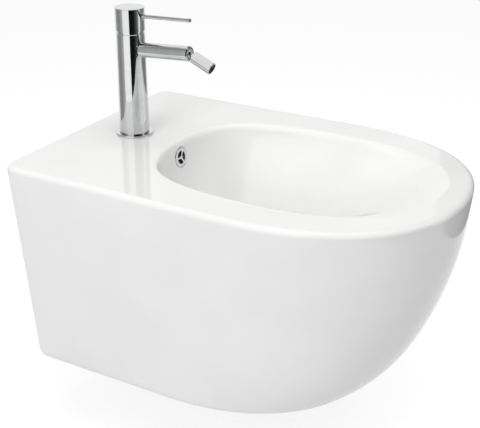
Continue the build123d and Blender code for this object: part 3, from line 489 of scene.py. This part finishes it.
def hexagon_nut(name: str, node: str, bore: float) -> bpy.types.Object:
    """Models a nut with turned corners and a lead-in at both ends, in the place of a CAD nut.

    Args:
        name: the piece's name.
        node: the CAD node that it stands for.
        bore: radius of its hole.

    Returns:
        The nut.
    """
    low, high = (Vector(corner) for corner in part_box(node))
    middle = (low + high) / 2
    corner_radius = (high.x - low.x) / 2
    flat_radius = (high.y - low.y) / 2
    half = (high.z - low.z) / 2
    chamfer = (corner_radius - flat_radius) * math.tan(math.radians(30))
    end_radius = 0.985 * flat_radius
    clear_radius = corner_radius + 0.1 * MM
    bpy.ops.object.select_all(action="DESELECT")
    bpy.ops.mesh.primitive_cylinder_add(
        vertices=6,
        radius=corner_radius,
        depth=2 * half,
        location=middle,
        rotation=(0, 0, math.radians(30)),
    )
    nut = settle(bpy.context.object, name)
    barrel = [
        (end_radius, -half - MM),
        (end_radius, -half),
        (clear_radius, -half + chamfer),
        (clear_radius, half - chamfer),
        (end_radius, half),
        (end_radius, half + MM),
    ]
    combine(nut, turned("nut_barrel", middle, barrel), Join.KEEP_COMMON)
    lead = 0.6 * MM
    hole = [
        (bore + 2 * lead, -half - lead),
        (bore, -half + lead),
        (bore, half - lead),
        (bore + 2 * lead, half + lead),
    ]
    combine(nut, turned("nut_hole", middle, hole), Join.CUT)
    edge = 0.25 * MM
    sharp = math.radians(25)
    apply_modifier(
        nut, "BEVEL", width=edge, segments=2, limit_method="ANGLE", angle_limit=sharp
    )
    return settle(nut, name)


@dataclass
class SubAssembly:
    """Pieces that are fitted together: each CAD node's finish, and the pieces modelled here."""

    finishes: dict[str, Finish] = field(default_factory=dict)

    def dress(self) -> None:
        """Gives each CAD node of the group its finish."""
        for name, finish in self.finishes.items():
            finish.dress(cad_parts[name])
            log.info("%s: %s", name, finish.name)

    def model(self) -> None:
        """Models the pieces that stand in for CAD nodes. Most groups have none."""

    @staticmethod
    def place(
        piece: bpy.types.Object, node: str, slot: str, finish: Finish, angle: float = 32.0
    ) -> None:
        """Finishes a modelled piece and puts it on the fixed body, in the place of a CAD node.

        Args:
            piece: the modelled piece.
            node: the CAD node that it stands for.
            slot: the record's material slot; not used.
            finish: its finish.
            angle: edges that turn by more than this many degrees stay sharp.
        """
        make_active(piece)
        bpy.ops.object.shade_smooth_by_angle(angle=math.radians(angle))
        finish.dress(piece)
        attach(piece, "bidet")
        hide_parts(node)
        log.info("%s: modelled, %d faces", piece.name, len(piece.data.polygons))


@dataclass
class GlazedBody(SubAssembly):
    """The glazed shell with its overflow trim and the sleeves for the wall studs."""

    finishes: dict[str, Finish] = field(default_factory=lambda: {
        "ceramic_body": GLAZE,
        "overflow_ring": CHROME,
        "overflow_sleeve": GREY_PLASTIC,
        "fixing_sleeve_left": ACETAL,
        "fixing_sleeve_right": ACETAL,
        "fixing_washer_left": STEEL,
        "fixing_washer_right": STEEL,
    })


@dataclass
class TapColumn(SubAssembly):
    """The column on its flange, with the dome that closes it."""

    finishes: dict[str, Finish] = field(default_factory=lambda: {
        "base_gasket": RUBBER,
        "base_flange": CHROME,
        "tap_body": CHROME,
        "neck_ring": CHROME,
    })


@dataclass
class Cartridge(SubAssembly):
    """The mixing cartridge in the column."""

    finishes: dict[str, Finish] = field(default_factory=lambda: {
        "cartridge_base": GREY_PLASTIC,
        "port_seals": RUBBER,
        "fixed_disc": ALUMINA,
        "moving_disc": ALUMINA,
        "spindle_carrier": ACETAL,
        "spindle": BRASS,
        "pivot_pin": STEEL,
        "cartridge_housing": GREY_PLASTIC,
        "retaining_nut": BRASS,
    })


@dataclass
class Handle(SubAssembly):
    """The cap with its lever, the screw that holds it and the plug over the screw."""

    finishes: dict[str, Finish] = field(default_factory=lambda: {
        "handle_cap": CHROME,
        "lever_pin": CHROME,
        "grub_screw": STEEL,
        "access_plug": CHROME,
    })


@dataclass
class Spout(SubAssembly):
    """The arm and the swivelling nozzle with its aerator."""

    finishes: dict[str, Finish] = field(default_factory=lambda: {
        "spout_arm": CHROME,
        "ball_seat": ACETAL,
        "swivel_collar": CHROME,
        "nozzle": CHROME,
        "aerator": GREY_PLASTIC,
        "aerator_washer": RUBBER,
    })


@dataclass
class TapFixing(SubAssembly):
    """The threaded stud, its nut and the horseshoe that clamp the tap under the deck."""

    pitch: float = 1.25 * MM
    thread_depth: float = 0.72 * MM
    tip_chamfer: float = 0.8 * MM
    finishes: dict[str, Finish] = field(default_factory=lambda: {
        "fixing_stud": BRASS,
        "horseshoe_rubber": RUBBER,
        "horseshoe_plate": STEEL,
        "stud_nut": BRASS,
    })

    def model(self) -> None:
        """Cuts the stud's thread and shapes its nut."""
        low, high = (Vector(corner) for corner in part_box("fixing_stud"))
        radius = (high.x - low.x) / 2
        root = radius - self.thread_depth
        centre = Vector(((low.x + high.x) / 2, (low.y + high.y) / 2, low.z))
        length = high.z - low.z
        core = turned("threaded_stud", centre, [
            (root - self.tip_chamfer, 0),
            (root, self.tip_chamfer),
            (root, length - self.tip_chamfer),
            (root - self.tip_chamfer, length),
        ], sides=40)
        self.place(core, "fixing_stud", "brass", BRASS)
        ridge = thread_ridge("stud_thread", centre, 0, length, root, radius, self.pitch)
        self.place(ridge, "fixing_stud", "brass", BRASS)
        self.place(hexagon_nut("long_stud_nut", "stud_nut", radius), "stud_nut", "brass", BRASS)


@dataclass
class Waste(SubAssembly):
    """The waste with its threaded body, seals and nut."""

    crest: float = 20.9 * MM
    root: float = 19.5 * MM
    pitch: float = 2.309 * MM
    bore: float = 18.5 * MM
    lower_bore: float = 16.8 * MM
    ledge: float = 31.0 * MM
    flange_radius: float = 31.0 * MM
    flange_foot: float = 1.2 * MM
    flange_top: float = 3.6 * MM
    flange_round: float = 1.0 * MM
    tail_step: float = 0.9 * MM
    tail_chamfer: float = 0.5 * MM
    thread_foot: float = 63.1 * MM
    tail_radius: float = 20.0 * MM
    length: float = 80.0 * MM
    slot_width: float = 13.0 * MM
    slot_top: float = 6.0 * MM
    slot_height: float = 11.0 * MM
    finishes: dict[str, Finish] = field(default_factory=lambda: {
        "waste_body": CHROME,
        "waste_washer": RUBBER,
        "lower_seal": RUBBER,
        "slip_washer": ACETAL,
        "waste_nut": BRASS,
        "click_housing": ACETAL,
    })

    def model(self) -> None:
        """Turns the waste's body, winds its thread, cuts its slots and shapes the nut."""
        low, high = (Vector(corner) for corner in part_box("waste_body"))
        seat = Vector(((low.x + high.x) / 2, (low.y + high.y) / 2, high.z - self.flange_top))
        edge = self.flange_round
        bevel = 0.3 * edge
        body = turned("threaded_waste", seat, [
            (self.bore, -self.ledge),
            (self.bore, self.flange_top - edge),
            (self.bore + bevel, self.flange_top - bevel),
            (self.bore + edge, self.flange_top),
            (self.flange_radius - edge, self.flange_top),
            (self.flange_radius - bevel, self.flange_top - bevel),
            (self.flange_radius, self.flange_top - edge),
            (self.flange_radius, self.flange_foot),
            (self.root, self.flange_foot),
            (self.root, -self.thread_foot),
            (self.tail_radius, -self.thread_foot - self.tail_step),
            (self.tail_radius, -self.length + self.tail_chamfer),
            (self.tail_radius - self.tail_chamfer, -self.length),
            (self.lower_bore, -self.length),
            (self.lower_bore, -self.ledge),
        ], tube=True)
        top = -2 * self.pitch
        ridge = thread_ridge(
            "waste_thread", seat, -self.thread_foot, top, self.root, self.crest, self.pitch
        )
        for piece in (body, ridge):
            for turn in (0, 90):
                self.cut_slots(piece, seat, turn)
            self.place(piece, "waste_body", "chrome", CHROME)
        nut = hexagon_nut("waste_back_nut", "waste_nut", self.crest)
        self.place(nut, "waste_nut", "brass", BRASS)

    def cut_slots(self, piece: bpy.types.Object, seat: Vector, turn: float) -> None:
        """Cuts two overflow slots that face each other.

        Args:
            piece: the waste's body or its thread.
            seat: the middle of the waste's seat in the bowl.
            turn: how far the pair is turned about the waste's axis, in degrees.
        """
        bpy.ops.object.select_all(action="DESELECT")
        middle = seat - Vector((0, 0, self.slot_top + self.slot_height / 2))
        rotation = (0, 0, math.radians(turn))
        bpy.ops.mesh.primitive_cube_add(size=1.0, location=middle, rotation=rotation)
        tool = bpy.context.object
        tool.scale = (4 * self.crest, self.slot_width, self.slot_height)
        combine(piece, settle(tool, "slot_tool"), Join.CUT)


@dataclass
class PushPlug(SubAssembly):
    """The plug that stands in the waste and slides up and down."""

    finishes: dict[str, Finish] = field(default_factory=lambda: {
        "plug_cap": CHROME,
        "plug_stem": BRASS,
        "plug_seal": RUBBER,
    })


@dataclass
class Studio:
    """The floor, the lamps, the cards for the chrome and the camera round the object."""

    ambient_colour: str = "#FAFAF9"
    ambient_strength: float = 0.42
    floor_level: float = -0.305
    floor_size: float = 12.0
    floor_colour: str = "#D8D9DA"
    floor_seen_colour: str = "#8C8C8C"
    floor_glow: float = 0.82
    tap_place: tuple[float, float] = (0.0, -0.078)
    card_distance: float = 0.9
    card_height: float = 2.1
    camera_place: tuple[float, float, float] = (-1.0665, -0.8425, 0.5673)
    camera_pitch: float = 24.55
    camera_yaw: float = 29.26
    camera_roll: float = 0.15
    lens: float = 74.97

    def build(self) -> None:
        """Builds the whole studio."""
        self.world()
        self.floor()
        self.lamps()
        self.cards()
        self.camera()

    def world(self) -> None:
        """Makes a plain pale world, white where the camera, metal or glass sees it."""
        world = bpy.data.worlds.new("studio")
        bpy.context.scene.world = world
        tree = cleared(world)
        seen = self.seen(tree)
        ambient = add_node(
            tree,
            "ShaderNodeBackground",
            {"Color": to_linear(self.ambient_colour), "Strength": self.ambient_strength},
        )
        white = add_node(tree, "ShaderNodeBackground", {"Color": (1, 1, 1, 1), "Strength": 1.0})
        mix = add_node(
            tree, "ShaderNodeMixShader", {0: seen, 1: ambient.outputs[0], 2: white.outputs[0]}
        )
        add_node(tree, "ShaderNodeOutputWorld", {"Surface": mix.outputs[0]})

    @staticmethod
    def seen(tree: bpy.types.NodeTree) -> bpy.types.NodeSocket:
        """Returns 1 for a ray from the camera, or one that a glossy or clear surface sent on."""
        rays = add_node(tree, "ShaderNodeLightPath")
        first = add_node(
            tree,
            "ShaderNodeMath",
            {0: rays.outputs["Is Camera Ray"], 1: rays.outputs["Is Glossy Ray"]},
            operation="MAXIMUM",
        )
        both = add_node(
            tree,
            "ShaderNodeMath",
            {0: first.outputs[0], 1: rays.outputs["Is Transmission Ray"]},
            operation="MAXIMUM",
        )
        return both.outputs[0]

    def floor(self) -> None:
        """Lays a plain pale floor under the hung object. It keeps the object's shadow."""
        bpy.ops.mesh.primitive_plane_add(size=self.floor_size, location=(0, 0, self.floor_level))
        floor = bpy.context.object
        floor.name = "studio_floor"
        material = bpy.data.materials.new("floor_paint")
        tree = cleared(material)
        seen = self.seen(tree)
        plain = add_node(tree, "ShaderNodeBsdfDiffuse", {"Color": to_linear(self.floor_colour)})
        pale = add_node(tree, "ShaderNodeBsdfDiffuse", {"Color": to_linear(self.floor_seen_colour)})
        white = (1, 1, 1, 1)
        glow = add_node(tree, "ShaderNodeEmission", {"Color": white, "Strength": self.floor_glow})
        lit = add_node(tree, "ShaderNodeAddShader", {0: pale.outputs[0], 1: glow.outputs[0]})
        mix = add_node(
            tree, "ShaderNodeMixShader", {0: seen, 1: plain.outputs[0], 2: lit.outputs[0]}
        )
        add_node(tree, "ShaderNodeOutputMaterial", {"Surface": mix.outputs[0]})
        floor.data.materials.append(material)

    def lamps(self) -> None:
        """Hangs the soft lamps: a large one overhead, and a weaker one at the left.

        Shiny surfaces don't see them, so neither leaves a hard-edged patch in the glaze.
        """
        for name, place, aim, size, power in (
            ("overhead", (-0.3, -0.6, 2.4), (0, -0.25, 0), 2.6, 36.0),
            ("left_side", (-2.6, -0.2, 1.1), (0, -0.25, 0), 1.8, 30.0),
        ):
            data = bpy.data.lights.new(name, "AREA")
            data.shape = "DISK"
            data.size = size
            data.energy = power
            lamp = bpy.data.objects.new(name, data)
            bpy.context.scene.collection.objects.link(lamp)
            lamp.location = place
            turn = (Vector(aim) - Vector(place)).to_track_quat("-Z", "Y")
            lamp.rotation_euler = turn.to_euler()
            lamp.visible_glossy = False

    def cards(self) -> None:
        """Stands three upright cards round the object, which only shiny surfaces see.

        They give the chrome the dark and grey bands that it has in a studio. Each is set by its
        bearing, from the camera's direction towards the right of the picture, seen from the tap.
        """
        dark = [(0.0, "#101010"), (0.5, "#1C1C1C"), (0.72, "#565656"), (1.0, "#9C9C9C")]
        left = [(0.0, "#B8B8B8"), (0.5, "#8E8E8E"), (1.0, "#C4C4C4")]
        right = [(0.0, "#A4A4A4"), (0.5, "#7C7C7C"), (1.0, "#C0C0C0")]
        for name, bearing, spread, tones in (
            ("dark_card", 28, 37, dark),
            ("left_card", -95, 35, left),
            ("right_card", 108, 30, right),
        ):
            self.card(name, math.radians(bearing), math.radians(spread), tones)

    def card(
        self, name: str, bearing: float, spread: float, tones: list[tuple[float, str]]
    ) -> None:
        """Stands one card that faces the tap.

        Args:
            name: the card's name.
            bearing: angle in radians of its middle from the camera's direction, to the right.
            spread: angle in radians from its middle to its edge.
            tones: brightness across it, from its left to its right.
        """
        tap = Vector((*self.tap_place, 0.0))
        towards = (Vector(self.camera_place).xy - tap.xy).normalized()
        across = Vector((-towards.y, towards.x))
        facing = towards * math.cos(bearing) + across * math.sin(bearing)
        place = tap.xy + facing * self.card_distance
        bpy.ops.mesh.primitive_plane_add(size=1.0)
        card = bpy.context.object
        card.name = name
        card.scale = (2 * self.card_distance * math.tan(spread), self.card_height, 1.0)
        card.location = (place.x, place.y, self.floor_level + self.card_height / 2)
        card.rotation_euler = (math.radians(90), 0, math.atan2(facing.x, -facing.y))
        material = bpy.data.materials.new(name)
        tree = cleared(material)
        place_on_card = add_node(tree, "ShaderNodeTexCoord").outputs["Generated"]
        across_card = add_node(tree, "ShaderNodeSeparateXYZ", {"Vector": place_on_card})
        tone = ramp(tree, across_card.outputs["X"], tones)
        glow = add_node(tree, "ShaderNodeEmission", {"Color": tone, "Strength": 1.0})
        add_node(tree, "ShaderNodeOutputMaterial", {"Surface": glow.outputs[0]})
        card.data.materials.append(material)
        card.visible_camera = False
        card.visible_diffuse = False
        card.visible_transmission = False
        card.visible_shadow = False

    def camera(self) -> None:
        """Sets the camera where the photographer stood."""
        angles = (self.camera_yaw, self.camera_pitch, self.camera_roll)
        yaw, pitch, roll = (math.radians(angle) for angle in angles)
        level_part = math.cos(pitch)
        ahead = Vector(
            (math.cos(yaw) * level_part, math.sin(yaw) * level_part, -math.sin(pitch))
        )
        level = Vector((math.sin(yaw), -math.cos(yaw), 0))
        upward = level.cross(ahead)
        right = level * math.cos(roll) + upward * math.sin(roll)
        up = upward * math.cos(roll) - level * math.sin(roll)
        data = bpy.data.cameras.new("photographer")
        data.lens = self.lens
        data.sensor_width = 36.0
        data.clip_end = 50.0
        camera = bpy.data.objects.new("photographer", data)
        bpy.context.scene.collection.objects.link(camera)
        turn = Matrix((right, up, -ahead)).transposed().to_4x4()
        camera.matrix_world = Matrix.Translation(self.camera_place) @ turn
        bpy.context.scene.camera = camera


def main() -> None:
    """Builds the scene, piece by piece."""
    logging.basicConfig(level=logging.INFO, format="%(message)s")
    bpy.context.scene.view_settings.view_transform = "Standard"
    groups = (
        GlazedBody(),
        TapColumn(),
        Cartridge(),
        Handle(),
        Spout(),
        TapFixing(),
        Waste(),
        PushPlug(),
    )
    for group in groups:
        group.dress()
        group.model()
        log.info("%s is done", type(group).__name__)
    bare = set(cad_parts) - {name for group in groups for name in group.finishes}
    log.info("CAD nodes without a finish: %s", sorted(bare) or "none")
    Studio().build()


if __name__ == "__main__":
    main()
